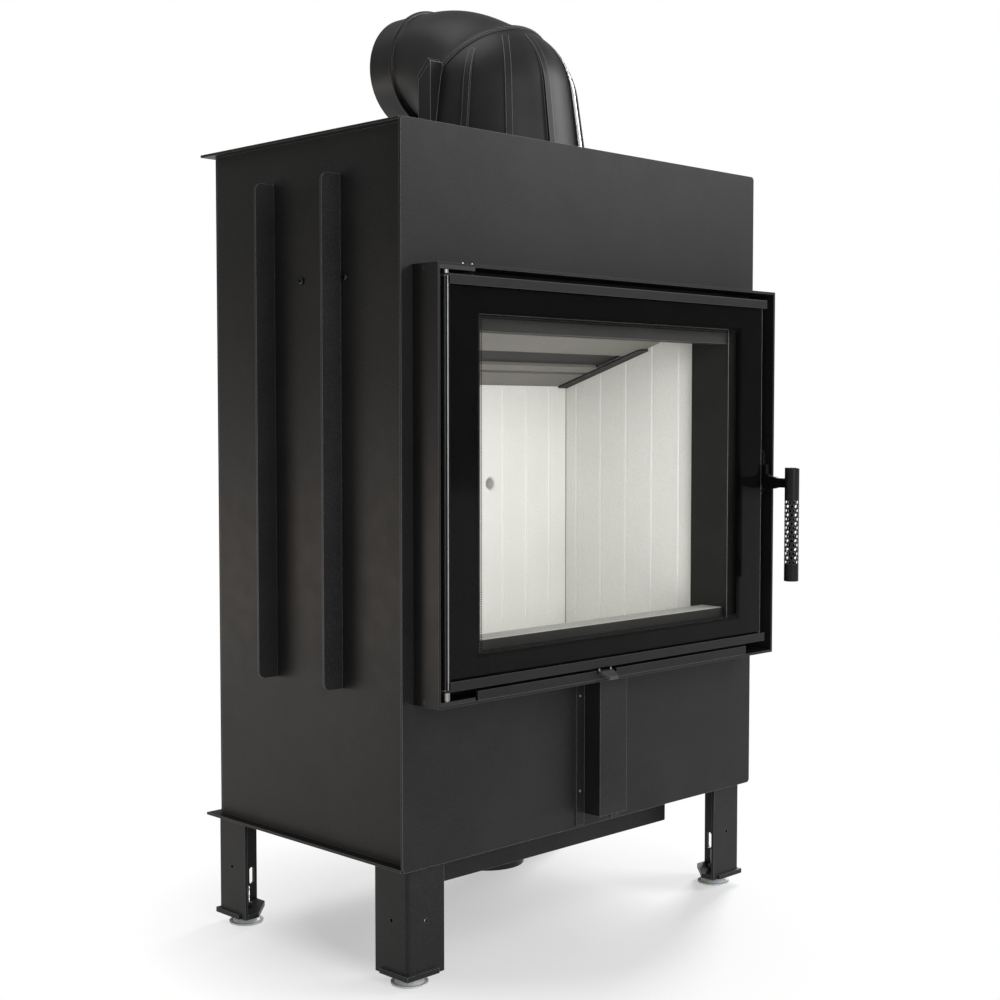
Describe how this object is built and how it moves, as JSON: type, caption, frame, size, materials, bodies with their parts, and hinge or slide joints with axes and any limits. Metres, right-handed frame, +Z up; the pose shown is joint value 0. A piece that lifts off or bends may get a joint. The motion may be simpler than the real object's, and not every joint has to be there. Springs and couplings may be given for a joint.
{
  "type": "fireplace insert",
  "caption": "Sheet-steel fireplace insert on levelling feet, a glazed swing door with a perforated tube handle, a lined firebox, an air lever and a ribbed hood with a turning flue elbow.",
  "frame": {"origin": "on the floor, under the middle of the outline", "axes": "+Z up, the door toward -Y, +X to the right of someone facing the door"},
  "size_m": [0.658, 0.461, 1.1721],
  "materials": {
    "casing_paint": "satin black stove paint with a fine grain",
    "frame_paint": "satin black stove paint",
    "neck_steel": "matt dark grey",
    "lining": "matt off-white board",
    "log_rest": "matt beige",
    "cast_hood": "satin black, cast texture",
    "glass": "clear inside a glossy black border",
    "gasket": "braided black cord, flattened",
    "plated_steel": "plain plated steel",
    "dark_hardware": "black",
    "handle_steel": "satin black",
    "foot_plastic": "translucent pale grey"
  },
  "bodies": {
    "body": {"front_plate": "casing_paint", "top_plate": "casing_paint", "bottom_plate": "casing_paint", "left_side_panel": "casing_paint", "right_side_panel": "casing_paint", "back_panel": "casing_paint", "side_fins": "casing_paint", "firebox_shell": "casing_paint", "firebox_neck": "neck_steel", "lining_back": "lining", "lining_left": "lining", "lining_right": "lining", "lining_floor": "lining", "log_rest": "log_rest", "air_wash_bar": "neck_steel", "baffle_rails": "neck_steel", "baffle_rear_board": "lining", "baffle_crossbar": "neck_steel", "baffle_front_board": "lining", "surround_frame": "frame_paint", "hinge_bars": "dark_hardware", "hinge_bush": "plated_steel", "latch_catch": "frame_paint", "lever_guide": "frame_paint", "duct_cover": "casing_paint", "air_box": "casing_paint", "air_inlet_spigot": "casing_paint", "flue_hood": "cast_hood", "elbow_clips": "dark_hardware", "front_left_leg": "casing_paint", "front_right_leg": "casing_paint", "back_left_leg": "casing_paint", "back_right_leg": "casing_paint", "foot_plates": "casing_paint"},
    "door": {"door_frame": "frame_paint", "door_top_trim": "frame_paint", "door_bottom_trim": "frame_paint", "door_glass": "glass", "door_gasket": "gasket", "hinge_pins": "plated_steel", "handle_pivot": "plated_steel"},
    "handle": {"handle_lever": "handle_steel", "handle_grip": "handle_steel", "grip_core": "plated_steel"},
    "air_control": {"air_lever": "handle_steel", "air_damper": "neck_steel"},
    "elbow": {"flue_elbow": "cast_hood"},
    "front_left_foot": {"front_left_foot": "foot_plastic", "front_left_stud": "plated_steel"},
    "front_right_foot": {"front_right_foot": "foot_plastic", "front_right_stud": "plated_steel"},
    "back_left_foot": {"back_left_foot": "foot_plastic", "back_left_stud": "plated_steel"},
    "back_right_foot": {"back_right_foot": "foot_plastic", "back_right_stud": "plated_steel"}
  },
  "joints": [
    {"name": "door_hinge", "type": "hinge", "parent": "body", "child": "door", "pos_m": [-0.283, -0.177, 0.5635], "axis": [0, 0, -1], "range_deg": [0, 100]},
    {"name": "handle_lift", "type": "hinge", "parent": "door", "child": "handle", "pos_m": [0.296, -0.1685, 0.542], "axis": [-1, 0, 0], "range_deg": [0, 35]},
    {"name": "air_lever_slide", "type": "slide", "parent": "body", "child": "air_control", "axis": [0, -1, 0], "range_m": [0, 0.022]},
    {"name": "elbow_turn", "type": "hinge", "parent": "body", "child": "elbow", "pos_m": [0, 0.05007, 1.05457], "axis": [0, 0.7071, 0.7071], "continuous": true},
    {"name": "front_left_foot_screw", "type": "slide", "parent": "body", "child": "front_left_foot", "axis": [0, 0, -1], "range_m": [0, 0.02]},
    {"name": "front_right_foot_screw", "type": "slide", "parent": "body", "child": "front_right_foot", "axis": [0, 0, -1], "range_m": [0, 0.02]},
    {"name": "back_left_foot_screw", "type": "slide", "parent": "body", "child": "back_left_foot", "axis": [0, 0, -1], "range_m": [0, 0.02]},
    {"name": "back_right_foot_screw", "type": "slide", "parent": "body", "child": "back_right_foot", "axis": [0, 0, -1], "range_m": [0, 0.02]}
  ]
}
